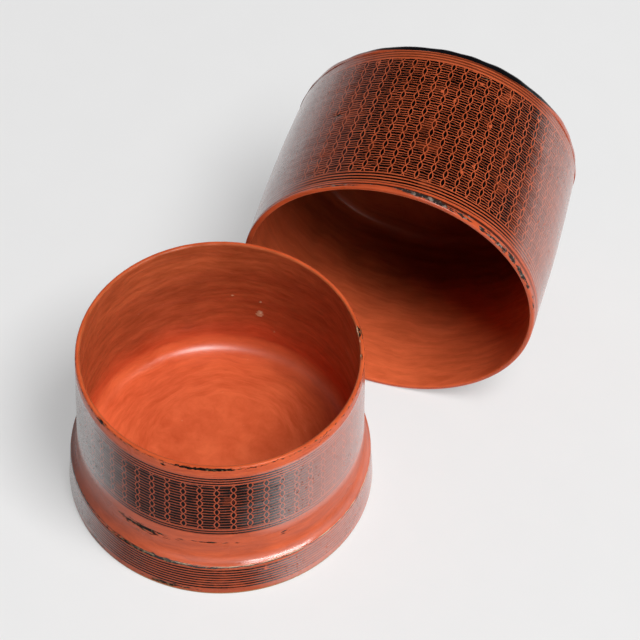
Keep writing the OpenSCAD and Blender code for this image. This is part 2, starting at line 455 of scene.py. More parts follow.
def chains(tree, cut, cell, height):
    """Masks of the links' eyes and of the space outside the chains, and the strands' swing."""
    column = add(tree, "Math", {0: cell}, operation="FLOOR")
    chain = add(tree, "TexWhiteNoise", {"W": column}, noise_dimensions="1D")
    across = add(tree, "Math", {0: cell}, operation="FRACT")
    across = add(tree, "Math", {0: across, 1: 0.5}, operation="SUBTRACT")
    across = add(tree, "Math", {0: across, 1: cut["width"]}, operation="MULTIPLY")
    across = add(tree, "Math", {0: across}, operation="ABSOLUTE")
    link = add(tree, "Math", {0: height, 1: 1 / cut["link"], 2: chain}, operation="MULTIPLY_ADD")
    link = add(tree, "Math", {0: link}, operation="FRACT")
    link = add(tree, "Math", {0: link, 1: 0.5}, operation="SUBTRACT")
    swing = add(tree, "Math", {0: link, 1: math.pi}, operation="MULTIPLY")
    swing = add(tree, "Math", {0: swing}, operation="COSINE")
    swing = add(tree, "Math", {0: swing, 1: ROUNDNESS}, operation="POWER")
    swing = add(tree, "Math", {0: swing, 1: cut["swing"]}, operation="MULTIPLY")
    beside = add(tree, "Math", {0: across, 1: swing}, operation="SUBTRACT")
    half = cut["strand"] / 2
    eye = add(tree, "MapRange", {0: beside, 1: STRAND_EDGE - half, 2: -STRAND_EDGE - half})
    outside = add(tree, "MapRange", {0: beside, 1: half - STRAND_EDGE, 2: half + STRAND_EDGE})
    return eye, outside, swing


def hatching(tree, cut, cell, height, swing, sway):
    """A mask of the black between the hatch lines, which bow with the chains beside them."""
    gap = add(tree, "Math", {0: cell, 1: 0.5}, operation="ADD")
    gap = add(tree, "Math", {0: gap}, operation="FLOOR")
    gap = add(tree, "Math", {0: gap, 1: GAP_DRAW}, operation="ADD")
    gap = add(tree, "TexWhiteNoise", {"W": gap}, noise_dimensions="1D")
    bow = add(tree, "Math", {0: swing, 1: cut["bow"], 2: height}, operation="MULTIPLY_ADD")
    bow = add(tree, "Math", {0: sway.outputs[1], 1: SWAY, 2: bow}, operation="MULTIPLY_ADD")
    hatch = add(tree, "Math", {0: bow, 1: 1 / cut["hatch"], 2: gap}, operation="MULTIPLY_ADD")
    hatch = add(tree, "Math", {0: hatch, 1: 0.5}, operation="PINGPONG")
    hatch = add(tree, "Math", {0: sway.outputs[2], 1: HATCH_UNEVEN, 2: hatch}, operation="MULTIPLY_ADD")
    return add(tree, "MapRange", {0: hatch, 1: cut["line"] - HATCH_EDGE, 2: cut["line"] + HATCH_EDGE})


low, high = COVER_CUT["field"]
print("hatch lines in a gap between two chains of the cover:", round((high - low) / COVER_CUT["hatch"]))

# %% [markdown]
# ## The whole pattern
# Rings, chains and hatching come together as one mask. No hand draws a straight line, so a slow noise
# moves every mark by some tenths of a millimetre before it is drawn.

# %% Put the pattern together
SWAY_SIZE = 9 * MM
RING_SWAY = 0.4
FIELD_EDGE = 0.15


def engraving(tree, cut, spot):
    """A mask that is 1 where the black shows between the engraved lines."""
    place = add(tree, "SeparateXYZ", {0: add(tree, "UVMap", uv_map="turned")}).node
    height = add(tree, "Math", {0: place.outputs[1], 1: 1 / MM}, operation="MULTIPLY")
    sway = add(tree, "TexNoise", {"Vector": spot, "Scale": 1 / SWAY_SIZE, "Detail": 2.0}, out="Color")
    sway = add(tree, "VectorMath", {0: sway, 1: (0.5,) * 3}, operation="SUBTRACT")
    sway = add(tree, "SeparateXYZ", {0: sway}).node
    tilted = add(tree, "Math", {0: sway.outputs[1], 1: RING_SWAY, 2: height}, operation="MULTIPLY_ADD")
    mask = 0.0
    if "columns" in cut:
        shift = add(tree, "Math", {0: sway.outputs[0], 1: SWAY / cut["width"]}, operation="MULTIPLY")
        around = place.outputs[0]
        cell = add(tree, "Math", {0: around, 1: cut["columns"], 2: shift}, operation="MULTIPLY_ADD")
        eye, outside, swing = chains(tree, cut, cell, height)
        hatch = hatching(tree, cut, cell, height, swing, sway)
        hatch = add(tree, "Math", {0: outside, 1: hatch}, operation="MULTIPLY")
        mask = add(tree, "Math", {0: eye, 1: hatch}, operation="MAXIMUM")
        field = band(tree, tilted, *cut["field"], FIELD_EDGE)
        mask = add(tree, "Math", {0: mask, 1: field}, operation="MULTIPLY")
    return ring_lines(tree, cut, tilted, mask)


print("marks sway by up to", SWAY / 2, "mm over", round(SWAY_SIZE / MM), "mm")

# %% [markdown]
# ## Lacquer as it is wiped on
# Vermilion lacquer is the sap of a tree with cinnabar stirred in. It is wiped on by hand, round and
# round, so its tone comes in bands that are long round the box and short across it. Stretched noise does
# that: the distance along the section runs through the noise quicker than the place does. Some coats
# change colour on the way: the cover turns black at its top edge, and the insides change as painted
# shade, the base's walls darker than its floor and the cover's closed top darker than its mouth.

# %% Wipe the coat on
CLOUD = 22 * MM
WIPE_LONG = 18 * MM
WIPE_SHORT = 3 * MM
WIPE_BENDS = 3.0
SWIRL_ENDS = 112 * MM
CLOUD_SHARE = 0.3
WIPED_SHARE = 0.7
DEEP_BELOW = 0.36
LIGHT_ABOVE = 0.64
RETREAT_STARTS = 40 * MM
RETREAT_FULL = 75 * MM
BLEND = {"out": 2, "data_type": "RGBA"}


def wiping(tree, spot, along):
    """Soft clouds, wiping marks, and the tone that both make; the marks end short of the floor's middle."""
    cloud = add(tree, "TexNoise", {"Vector": spot, "Scale": 1 / CLOUD, "Detail": 3.0})
    bends = add(tree, "Math", {0: cloud, 1: WIPE_BENDS}, operation="MULTIPLY")
    outer = add(tree, "Math", {0: along, 1: SWIRL_ENDS}, operation="MINIMUM")
    lift = add(tree, "Math", {0: outer, 1: 1 / WIPE_SHORT, 2: bends}, operation="MULTIPLY_ADD")
    lift = add(tree, "CombineXYZ", {2: lift})
    wiped = add(tree, "VectorMath", {0: spot, 1: (1 / WIPE_LONG,) * 3, 2: lift}, operation="MULTIPLY_ADD")
    wiped = add(tree, "TexNoise", {"Vector": wiped, "Scale": 1.0, "Detail": 6.0, "Roughness": 0.66})
    tone = add(tree, "Math", {0: cloud, 1: CLOUD_SHARE}, operation="MULTIPLY")
    tone = add(tree, "Math", {0: wiped, 1: WIPED_SHARE, 2: tone}, operation="MULTIPLY_ADD")
    tone = add(tree, "MapRange", {0: tone, 1: DEEP_BELOW, 2: LIGHT_ABOVE})
    return cloud, wiped, tone


def second_colour_or_painted_shade(tree, colour, tone, cloud, along, sideways, turn):
    """Another colour past a distance along the section, with a cloudy edge that may slant; in the insides
    it is painted shade.
    """
    pair = {0: tone, 6: linear(turn["deep"]), 7: linear(turn["light"])}
    other = add(tree, "Mix", pair, **BLEND)
    beside = add(tree, "Math", {0: sideways, 1: COVER_X}, operation="SUBTRACT")
    edge = add(tree, "Math", {0: beside, 1: turn["tilt"], 2: along}, operation="MULTIPLY_ADD")
    back = add(tree, "MapRange", {0: beside, 1: RETREAT_STARTS, 2: RETREAT_FULL, 4: turn["retreat"]})
    edge = add(tree, "Math", {0: edge, 1: back}, operation="SUBTRACT")
    edge = add(tree, "Math", {0: cloud, 1: turn["soft"], 2: edge}, operation="MULTIPLY_ADD")
    edge = add(tree, "MapRange", {0: edge, 1: turn["at"], 2: turn["at"] + turn["soft"]})
    return add(tree, "Mix", {0: edge, 6: colour, 7: other}, **BLEND)


print(f"wiping marks: some {WIPE_LONG / MM:.0f} mm long and {WIPE_SHORT / MM:.0f} mm wide")

# %% [markdown]
# ## Lacquer as it wears
# Lacquer flakes off with ragged edges, longer round the box than across it, because the coils move under
# it. The attribute worn says where, and a noise stretched in the same way frays the edge. Where the
# attribute is negative a drip or a mend covers the cuts. The black in the cuts itself is rubbed thin here
# and there, and towards the flanks it is painted thin, a painted sheen where the haze washes it out.

# %% Wear the coat
FRAYED = 1.6
BARE_FROM = 0.4
BARE_FULL = 0.56
MEND_FRAYED = 0.8
MEND_FROM = -0.35
MEND_FULL = -0.5
RUB = 14 * MM
RUB_FROM = 0.58
RUB_FULL = 0.78
RUBBED_TO = 0.6
SHEEN_FADED_TO = 0.5
CUT_DEPTH = 0.06


def worn_places(tree, unrolled, flakes):
    """The flakes' noise, and masks of the places worn bare and of those under a drip or a mend."""
    across = (math.tau * RIM_R / flakes[0], 1 / flakes[1], 0)
    flake = add(tree, "VectorMath", {0: unrolled, 1: across}, operation="MULTIPLY")
    flake = add(tree, "TexNoise", {"Vector": flake, "Scale": 1.0, "Detail": 2.0})
    flake = add(tree, "Math", {0: flake, 1: 0.5}, operation="SUBTRACT")
    worn = add(tree, "Attribute", attribute_name="worn", out="Fac")
    bare = add(tree, "Math", {0: flake, 1: FRAYED, 2: worn}, operation="MULTIPLY_ADD")
    bare = add(tree, "MapRange", {0: bare, 1: BARE_FROM, 2: BARE_FULL})
    mend = add(tree, "Math", {0: flake, 1: MEND_FRAYED, 2: worn}, operation="MULTIPLY_ADD")
    mend = add(tree, "MapRange", {0: mend, 1: MEND_FROM, 2: MEND_FULL})
    return flake, bare, mend


def cut_in(tree, colour, relief, cut, spot, sideways, mend):
    """Draws a pattern's black into a coat: none under a mend, less where it is rubbed thin, and less at the
    flanks as painted sheen.
    """
    kept = add(tree, "Math", {0: 1.0, 1: mend}, operation="SUBTRACT")
    black = add(tree, "Math", {0: engraving(tree, cut, spot), 1: kept}, operation="MULTIPLY")
    rubbed_and_sheen = add(tree, "TexNoise", {"Vector": spot, "Scale": 1 / RUB, "Detail": 4.0, "Roughness": 0.65})
    rubbed_and_sheen = add(tree, "MapRange", {0: rubbed_and_sheen, 1: RUB_FROM, 2: RUB_FULL, 3: 1.0, 4: RUBBED_TO})
    # Painted sheen: over these stretches of x the black is painted thin, where the haze would wash it out
    for begins, ends in cut["sheen_fades"]:
        thin = add(tree, "MapRange", {0: sideways, 1: begins * MM, 2: ends * MM, 3: 1.0, 4: SHEEN_FADED_TO})
        rubbed_and_sheen = add(tree, "Math", {0: rubbed_and_sheen, 1: thin}, operation="MULTIPLY")
    shown = add(tree, "Math", {0: black, 1: rubbed_and_sheen}, operation="MULTIPLY")
    colour = add(tree, "Mix", {0: shown, 6: colour, 7: linear(cut["fill"])}, **BLEND)
    relief = add(tree, "Math", {0: black, 1: -CUT_DEPTH, 2: relief}, operation="MULTIPLY_ADD")
    return colour, relief, black


print("cuts are", CUT_DEPTH, "mm deep in the bump")

# %% [markdown]
# ## Lacquer as it shines
# The polish is a thin film over the colour, the shader's coat. On old lacquer it has gone pale, and at
# grazing angles it lies over the pattern like a haze, most on the right. Layer Weight tells the angle,
# and small pits break the haze up.

# %% Polish the coat
HAZE_LEFT = -20 * MM
HAZE_STARTS = 0.52
HAZE_FULL = 0.74
PIT = 1.5 * MM
PIT_FROM = 0.58
PIT_FULL = 0.7
PIT_KEEPS = 0.3


def old_haze(tree, spot, sideways, haze, bloom):
    """The film that shows at grazing angles; bloom is its strength left and right, and its head start."""
    left, right, head_start = bloom
    sooner = add(tree, "MapRange", {0: sideways, 1: HAZE_LEFT, 2: RIM_R, 3: 0.0, 4: head_start})
    grazing = add(tree, "Math", {0: add(tree, "LayerWeight", out="Facing"), 1: sooner}, operation="ADD")
    grazing = add(tree, "MapRange", {0: grazing, 1: HAZE_STARTS, 2: HAZE_FULL, 4: haze})
    uneven = add(tree, "MapRange", {0: sideways, 1: HAZE_LEFT, 2: RIM_R, 3: left, 4: right})
    grazing = add(tree, "Math", {0: grazing, 1: uneven}, operation="MULTIPLY", use_clamp=True)
    pits = add(tree, "TexNoise", {"Vector": spot, "Scale": 1 / PIT, "Detail": 2.0})
    pits = add(tree, "MapRange", {0: pits, 1: PIT_FROM, 2: PIT_FULL, 3: 1.0, 4: PIT_KEEPS})
    return add(tree, "Math", {0: grazing, 1: pits}, operation="MULTIPLY")


print("haze starts where Layer Weight's Facing is", HAZE_STARTS, "and is full at", HAZE_FULL)

# %% [markdown]
# ## Where handling keeps it bright
# Handling keeps some stretches bright, such as the shoulder of the foot, by a stronger film. Along the
# shoulder's edge, on the lit right, a thin cream line is painted: a painted highlight for the glint of the
# rounded edge. The distance along the section says where they are. The cove above the shoulder shows
# hardly any haze, so the film is held back there.

# %% Keep some stretches bright
COVE_KEEPS = 0.2
CLEAR_FADES = 4 * MM
GLINT_FADES = 0.45 * MM
GLINT_FULL = 0.2 * MM
BROKEN_BELOW = -0.1
WHOLE_ABOVE = 0.05


def kept_bright(tree, along, sideways, polish):
    """The film on a stretch that is kept bright, and the mask of the side on which it is."""
    away = add(tree, "Math", {0: along, 1: polish["at"]}, operation="SUBTRACT")
    away = add(tree, "Math", {0: away}, operation="ABSOLUTE")
    bright = add(tree, "MapRange", {0: away, 1: polish["reach"], 2: 0.0, 4: polish["most"]})
    dim, full = polish["right_of"]
    side = add(tree, "MapRange", {0: sideways, 1: dim, 2: full})
    return add(tree, "Math", {0: bright, 1: side}, operation="MULTIPLY"), side


def clear_cove_and_glint(tree, colour, grazing, along, flake, side, polish):
    """Keeps the haze out of the cove, and paints a pale line along the shoulder's edge below it, a painted
    highlight.
    """
    low, high = polish["clear"]
    above = add(tree, "MapRange", {0: along, 1: low - MM, 2: low + MM, 3: 1.0, 4: COVE_KEEPS})
    below = add(tree, "MapRange", {0: along, 1: high - CLEAR_FADES, 2: high + CLEAR_FADES})
    held = add(tree, "Math", {0: above, 1: below}, operation="MAXIMUM")
    grazing = add(tree, "Math", {0: grazing, 1: held}, operation="MULTIPLY")
    # Painted highlight: a pale line along the shoulder's edge, on the lit side only
    edge = add(tree, "Math", {0: along, 1: low}, operation="SUBTRACT")
    edge = add(tree, "Math", {0: edge}, operation="ABSOLUTE")
    edge = add(tree, "MapRange", {0: edge, 1: GLINT_FADES, 2: GLINT_FULL})
    broken = add(tree, "MapRange", {0: flake, 1: BROKEN_BELOW, 2: WHOLE_ABOVE})
    edge = add(tree, "Math", {0: edge, 1: broken}, operation="MULTIPLY")
    edge = add(tree, "Math", {0: edge, 1: side}, operation="MULTIPLY")
    return add(tree, "Mix", {0: edge, 6: colour, 7: linear(polish["ground"])}, **BLEND), grazing


# The line at the shoulder is a painted highlight
print("the worn line at the shoulder is", round(2 * GLINT_FULL / MM, 1), "mm wide")

# %% [markdown]
# ## One recipe for all lacquers
# Red and black, plain and engraved, the coats differ only in colour, gloss, haze and cuts, so one
# function makes them all from the steps above. What is the same all over a coat is set on the shader's
# own sockets. The film's IOR is above that of lacquer, about 1.5, because the studio is dim overhead, and
# a true film would hardly show in it.

# %% Lacquer material
GRIT = 2 * MM
GRIT_FROM = 0.52
GRIT_FULL = 0.66
SHADE_CLOUDS = 30 * MM
CHIP_DEPTH = 0.15
CHIP_DULLS = 0.25
PATCH_LOW = 0.35
PATCH_HIGH = 0.65
# Most values of a noise lie between these two
NOISE_LOW = 0.3
NOISE_HIGH = 0.7
# The colour under the film hardly mirrors by itself, so its reflection is tinted dark
UNDER_FILM = "#3A3432"


def lacquer(name, light, deep, roughness, haze=0.0, gloss=0.3, cut=None, under=("#15100D", "#6E5A40"),
            turn=None, painted_shade=None, polish=None, bloom=(1.0, 1.0, 0.0), flakes=(5 * MM, 1.2 * MM),
            ripple=0.16, sheen=0.0, coat_ior=2.0, coat_rough=0.2, specular=0.5, patchy=0.0):
    """A wiped lacquer coat, plain or engraved, that shows its ground where the attribute worn says so."""
    material, tree = new_material(name)
    spot = add(tree, "TexCoord", out="Object")
    sideways = add(tree, "SeparateXYZ", {0: spot}, out=0)
    unrolled = add(tree, "UVMap", uv_map="turned")
    along = add(tree, "SeparateXYZ", {0: unrolled}, out=1)
    cloud, wiped, tone = wiping(tree, spot, along)
    flake, bare, mend = worn_places(tree, unrolled, flakes)

    # Colour and relief: the coat, its second colour or painted shade, its cuts, painted shade to one side,
    # and the ground where it is worn
    colour = add(tree, "Mix", {0: tone, 6: linear(deep), 7: linear(light)}, **BLEND)
    relief = add(tree, "Math", {0: wiped, 1: ripple}, operation="MULTIPLY")
    cuts = bare
    if turn:
        colour = second_colour_or_painted_shade(tree, colour, tone, cloud, along, sideways, turn)
    if cut:
        colour, relief, black = cut_in(tree, colour, relief, cut, spot, sideways, mend)
        cuts = add(tree, "Math", {0: bare, 1: black}, operation="MAXIMUM")
    # Painted shade: the coat is darkened towards one side of the box, where less light falls
    if painted_shade:
        dark = add(tree, "Math", {0: cloud, 1: SHADE_CLOUDS, 2: sideways}, operation="MULTIPLY_ADD")
        dark = add(tree, "MapRange", {0: dark, 1: painted_shade["from"], 2: painted_shade["to"], 3: 0.0, 4: painted_shade["most"]})
        colour = add(tree, "Mix", {0: dark, 6: colour, 7: linear(painted_shade["colour"])}, **BLEND)
    grit = add(tree, "TexNoise", {"Vector": spot, "Scale": 1 / GRIT, "Detail": 2.0})
    grit = add(tree, "MapRange", {0: grit, 1: GRIT_FROM, 2: GRIT_FULL})
    ground = add(tree, "Mix", {0: grit, 6: linear(under[0]), 7: linear(under[1])}, **BLEND)
    colour = add(tree, "Mix", {0: bare, 6: colour, 7: ground}, **BLEND)
    relief = add(tree, "Math", {0: bare, 1: -CHIP_DEPTH, 2: relief}, operation="MULTIPLY_ADD")

    # Gloss: a film that is thin on the cuts, patchy where it was rubbed, and pale at grazing angles
    least, most = roughness - 0.06, roughness + 0.08
    dull = add(tree, "MapRange", {0: cloud, 1: NOISE_LOW, 2: NOISE_HIGH, 3: least, 4: most})
    dull = add(tree, "Math", {0: bare, 1: CHIP_DULLS, 2: dull}, operation="MULTIPLY_ADD")
    film = add(tree, "MapRange", {0: cuts, 3: gloss, 4: 0.0})
    if patchy:
        least, most = 1.0 - patchy, 1.0 + patchy
        rubs = add(tree, "MapRange", {0: wiped, 1: PATCH_LOW, 2: PATCH_HIGH, 3: least, 4: most})
        film = add(tree, "Math", {0: film, 1: rubs}, operation="MULTIPLY")
    grazing = old_haze(tree, spot, sideways, haze, bloom)
    if polish:
        bright, side = kept_bright(tree, along, sideways, polish)
        film = add(tree, "Math", {0: film, 1: bright}, operation="MAXIMUM")
        if "clear" in polish:
            colour, grazing = clear_cove_and_glint(tree, colour, grazing, along, flake, side, polish)
    film = add(tree, "Math", {0: film, 1: grazing}, operation="MAXIMUM")
    bump = add(tree, "Bump", {"Strength": 1.0, "Distance": MM, "Height": relief})
    shader = add(tree, "BsdfPrincipled", {
        "Base Color": colour, "Roughness": dull, "IOR": 1.45, "Normal": bump,
        "Specular IOR Level": specular, "Specular Tint": linear(UNDER_FILM),
        "Coat Weight": film, "Coat Roughness": coat_rough, "Coat IOR": coat_ior,
        "Sheen Weight": sheen, "Sheen Roughness": 0.25, "Sheen Tint": linear("#F2DCD4")})
    add(tree, "OutputMaterial", {"Surface": shader})
    return material


print("a chip is", CHIP_DEPTH, "mm deep in the bump, and its grit", round(GRIT / MM), "mm")

# %% [markdown]
# ## Plain coats
# Inside, the box is plain vermilion, wiped on and left soft. The lips are polished by the hand and
# chipped by use. The inside coats are painted darker on the walls and deep in the cover than at the floor
# and the mouth: painted shade for the dim inside of a deep box, lit mostly by what comes off its red walls.

# %% Plain vermilion coats
# Wiped and left soft: cloudy brown-red bands, the walls painted darker than the clearer orange floor as
# painted shade, and gloss only in the corner
inside_coat = lacquer(
    "vermilion_lacquer_wiped", "#C56139", "#9C4725", 0.42, gloss=0.12, under=("#D9B48E", "#F0DCC4"),
    coat_rough=0.34, patchy=0.7,
    polish={"at": 80 * MM, "reach": 14 * MM, "most": 0.8, "right_of": (-48 * MM, -26 * MM)},
    turn={"at": 62 * MM, "soft": 16 * MM, "tilt": 0.0, "retreat": 0.0,
          "deep": "#C2522E", "light": "#DE683E"})
# Wiped: orange at the mouth, dull, and painted dark brown towards the closed top as painted shade, with
# painted shadow on the left near the mouth
lid_inside_coat = lacquer(
    "vermilion_lacquer_wiped_cover", "#DE6A40", "#C05630", 0.42, gloss=0.04,
    turn={"at": 55 * MM, "soft": 40 * MM, "tilt": 0.0, "retreat": 0.0,
          "deep": "#6C2A14", "light": "#823A1E"},
    painted_shade={"from": 40 * MM, "to": 5 * MM, "most": 0.35, "colour": "#5A2410"})
# Polished by hand and cover: an even bright orange line with small black chips
lip_coat = lacquer(
    "vermilion_lacquer_polished", "#DC6438", "#BE4E2A", 0.3, haze=0.15, gloss=0.1,
    flakes=(2.5 * MM, 0.8 * MM), specular=0.1)
# Polished and knocked: a duller orange with two turned rings and long chips down to grey putty, the rings'
# black painted thin at the flanks as painted sheen
lid_lip_coat = lacquer(
    "vermilion_lacquer_polished_cover", "#CC5A32", "#AE4726", 0.3, haze=0.2, gloss=0.2, cut=LID_LIP_CUT,
    under=("#2E2724", "#85776D"), flakes=(4 * MM, 1 * MM))
print("plain coats:", inside_coat.name, lid_inside_coat.name, lip_coat.name, lid_lip_coat.name)

# %% [markdown]
# ## Engraved and black coats
# Outside, the engraved coats carry the polish of many years. They and the cover's black edge are painted
# darker on the left, a painted shade on the side away from the light. The top of the cover is black, and
# the black runs over its edge in an uneven line. The photo shows neither the top nor the underside, so
# both get the plain black coat that its edge suggests.

# %% Engraved and black coats
BLACK = {"deep": "#070608", "light": "#0E0C10"}
# Engraved and polished: crisp black on orange straight on, pale haze at the flanks with the black painted
# thin on the right as painted sheen, painted shade on the left, and at the foot a glint and a pale line
# painted along the shoulder's edge as a painted highlight
base_engraved = lacquer(
    "vermilion_lacquer_engraved_base", "#D45C30", "#B44A25", 0.3, haze=1.0, gloss=0.15, cut=BASE_CUT,
    polish={"at": 24.5 * MM, "reach": 5 * MM, "most": 0.7, "right_of": (-30 * MM, 10 * MM),
            "clear": (22.3 * MM, 43 * MM), "ground": "#D9B692"},
    bloom=(1.0, 2.4, 0.22), ripple=0.05, sheen=0.05, coat_ior=2.6, specular=0.1,
    painted_shade={"from": -5 * MM, "to": -65 * MM, "most": 0.65, "colour": "#5A2418"})
# Engraved and polished, with finer cuts: a darker, browner coat than the base's, with haze on both flanks,
# its black painted thin there as painted sheen, and painted shade on the left
cover_engraved = lacquer(
    "vermilion_lacquer_engraved_cover", "#C85E38", "#A94A28", 0.3, haze=1.0, gloss=0.12, cut=COVER_CUT,
    sheen=0.1, bloom=(1.1, 2.2, 0.1), specular=0.1,
    turn={"at": 104.6 * MM, "soft": 1.0 * MM, "tilt": 0.022, "retreat": 4 * MM, **BLACK},
    painted_shade={"from": 60 * MM, "to": 10 * MM, "most": 0.7, "colour": "#6C2A1E"})
# Black, polished: deep brown-black with a soft mirror, rubbed in rings and worn to red-brown in places
black_coat = lacquer(
    "black_lacquer_polished", "#1C1413", "#0A0809", 0.25, haze=0.6, gloss=0.3, under=("#5A2E1E", "#7A3E26"),
    flakes=(3 * MM, 3 * MM), patchy=0.25)
# Black wiped over vermilion: a black rounding with an uneven lower edge, orange below it, and painted shade
# on the left
black_edge = lacquer(
    "black_lacquer_over_vermilion", "#C4552E", "#A54322", 0.3, haze=1.0, gloss=0.1, sheen=0.1,
    bloom=(1.1, 2.2, 0.1), specular=0.1,
    turn={"at": -1.2 * MM, "soft": 1.0 * MM, "tilt": 0.07, "retreat": 12 * MM, **BLACK},
    painted_shade={"from": 60 * MM, "to": 15 * MM, "most": 0.6, "colour": "#62261A"})
print("engraved coats:", base_engraved.name, cover_engraved.name)
print("black coats:", black_coat.name, black_edge.name)

# %% [markdown]
# ## Inside the base
# The inside is a plain coat that runs down the wall, round a soft corner of putty and over the floor to
# the middle. It starts as one section that ends on the axis, so the spin closes the floor to a point. The
# coils of bamboo show through as faint ridges, which is why the points move by tenths of a millimetre.
# Where the coat has flaked off, a few specks of the pale ground show.

# %% Base: inside coat
FLOOR_CORNER_Z = FLOOR_Z + FLOOR_CORNER_R
FLOOR_CORNER = (base_in(FLOOR_CORNER_Z) - FLOOR_CORNER_R / math.cos(DRAFT), FLOOR_CORNER_Z)
inside_face = [(base_in(HOOP_Z), HOOP_Z)]
inside_face += arc(FLOOR_CORNER, FLOOR_CORNER_R, DRAFT, -math.pi / 2)
inside_face += [(0, FLOOR_Z)]
inside_back = [(0, FLOOR_Z - COAT)]
inside_back += arc(FLOOR_CORNER, FLOOR_CORNER_R + COAT, -math.pi / 2, DRAFT)
inside_back += [(base_in(HOOP_Z) + COAT, HOOP_Z)]

inside_marks = [
    (89.6, 50.6, 1.5, 1.3, 1.6), (89.2, 48.6, 1.2, 1.1, 1.4),
    (89, 39.0, 0.9, 0.8, 1.1), (101, 36.5, 0.8, 0.7, 0.9),
    (83, 62, 0.9, 0.8, 0.9)]

bm = turned(inside_face, inside_back)
wear(bm, inside_marks, RIM_R)
roughen(bm, coil=0.22 * MM, dent=0.15 * MM, pitch=5 * MM, seed=3.0)
unwrap(bm)
finish_piece("base_inside_coat", bm, [inside_coat], "base", "base_inner_lining")

# %% [markdown]
# ## Outside of the base
# The engraved coat goes up the foot, over the worn shoulder, through the cove and up the wall to the
# lip's hoop. The distance along this section starts at the table, so that the heights of the engraving
# can be read off it. Hands have rounded the shoulder's edge, so a short curve eases its corner. The marks
# in the cove and along the shoulder are long and low, as the cover's lip rubs them, and one small drip
# lies on the foot.

# %% Base: outside coat
# Degrees of the side that faces the camera, and how far wear has eased the shoulder's edge
FACING = -76.0
EASE = 0.7 * MM


def eased(corner, steps=4):
    """Points of the shoulder's edge, rounded off by wear over EASE on either side of its corner."""
    foot_way = Vector((FOOT_FLARE, -SHOULDER_Z)).normalized() * EASE
    cove_way = Vector((-math.sin(COVE_END), math.cos(COVE_END))) * EASE
    bends = [i / steps for i in range(steps)]
    curve = [Vector(corner) + foot_way * (1 - t) ** 2 + cove_way * t ** 2 for t in bends]
    return [tuple(point) for point in curve]


def round_base(arc_mm):
    """Degrees of a mark that lies arc_mm to the right of the side that faces the camera."""
    return FACING + math.degrees(arc_mm * MM / RIM_R)


foot_low_r = FOOT_R - FOOT_FLARE * FOOT_BARE / SHOULDER_Z
outside_face = [(foot_low_r, FOOT_BARE)]
outside_face += eased((SHOULDER_R, SHOULDER_Z))
outside_face += arc(COVE_AT, COVE_R, math.pi + COVE_END - EASE / COVE_R, math.pi + DRAFT)
outside_face += [(base_out(HOOP_Z), HOOP_Z)]
outside_back = [(base_out(HOOP_Z) - COAT, HOOP_Z)]
outside_back += arc(COVE_AT, COVE_R + COAT, math.pi + DRAFT, math.pi + COVE_END)
outside_back += [(foot_low_r - COAT, FOOT_BARE)]

base_marks = [(round_base(arc_mm), *sizes) for arc_mm, *sizes in [
    (-41, 38, 13, 2.0, 0.9), (-3, 39.5, 12, 0.8, 0.75), (37, 39, 2.8, 1.4, 0.7),
    (-42, 33, 1.8, 0.7, 0.6), (-24, 2.6, 11, 1.2, 0.9), (-70, 2.6, 9, 1.2, 0.7),
    (25, 17.5, 1.6, 2, -0.6)]]
shoulder_wear = [
    (-170, 0.6, 0.45), (-140, 0.8, 0.75), (-115, 0.9, 1.0), (-92, 0.8, 0.9), (-70, 0.35, 0.5),
    (-45, 0.3, 0.5), (-20, 0.3, 0.5), (10, 0.4, 0.45), (45, 0.5, 0.45), (80, 0.5, 0.4), (115, 0.6, 0.5),
    (155, 0.6, 0.45)]
base_marks += [
    (degrees, 21.8, 30, half_height, strength)
    for degrees, half_height, strength in shoulder_wear]

bm = turned(outside_face, outside_back, start=FOOT_BARE)
wear(bm, base_marks, RIM_R)
roughen(bm, coil=0.05 * MM, dent=0.12 * MM, chip=0.15 * MM, seed=7.0)
unwrap(bm)
finish_piece("base_engraved_coat", bm, [base_engraved], "base", "base_outer_lacquer")

# %% [markdown]
# ## Lip of the base
# The lip is a lacquered hoop with a rounded edge. It takes the knocks when the cover goes on, so small
# chips run along its outer edge. The section is a short closed loop of two quarter arcs, turned in more
# steps than the walls. Its inner face has the inside's coat, so the piece has two materials.

# %% Base: lip
LIP_Z = BASE_H - LIP_ROUND
# A face counts as inside where its normal points this much towards the axis
INWARDS = -0.35
lip_face = [(base_out(HOOP_Z), HOOP_Z)]
lip_face += arc((base_out(LIP_Z) - LIP_ROUND, LIP_Z), LIP_ROUND, 0, math.pi / 2, 6)
lip_face += arc((base_in(LIP_Z) + LIP_ROUND, LIP_Z), LIP_ROUND, math.pi / 2, math.pi, 6)
lip_face += [(base_in(HOOP_Z), HOOP_Z)]


def lined(bm):
    """Gives the faces that look inwards to the second material, which is that of the inside."""
    bm.normal_update()
    for face in bm.faces:
        middle = face.calc_center_median()
        outwards = Vector((middle.x, middle.y, 0)).normalized()
        face.material_index = 1 if face.normal.dot(outwards) < INWARDS else 0


lip_marks = [(degrees, 5.6, 60, 0.9, 0.26) for degrees in range(-180, 180, 60)]
lip_marks += [(round_base(arc_mm), *sizes) for arc_mm, *sizes in [
    (-27, 3.3, 1.5, 0.8, 0.9), (-68, 5.5, 2, 1.0, 0.8), (-12, 5.2, 6, 0.9, 0.75), (1, 5.6, 6, 0.8, 0.8),
    (62, 3, 4, 1.2, 0.5)]]
lip_marks += [(26, 8, 4, 1.5, 0.8), (14, 8, 2, 1, 0.6)]

bm = turned(lip_face, [], spacing=0.6 * MM, turns=720)
wear(bm, lip_marks, RIM_R)
roughen(bm, dent=0.1 * MM, chip=0.2 * MM, seed=11.0)
unwrap(bm)
lined(bm)
finish_piece("base_lip", bm, [lip_coat, inside_coat], "base", "base_rim_hoop")

# %% [markdown]
# ## Underside of the base
# Under the floor, inside the foot ring, such boxes have a plain black coat, wiped on in one go. One
# section from the axis to the foot makes both the disc and the band inside the ring.

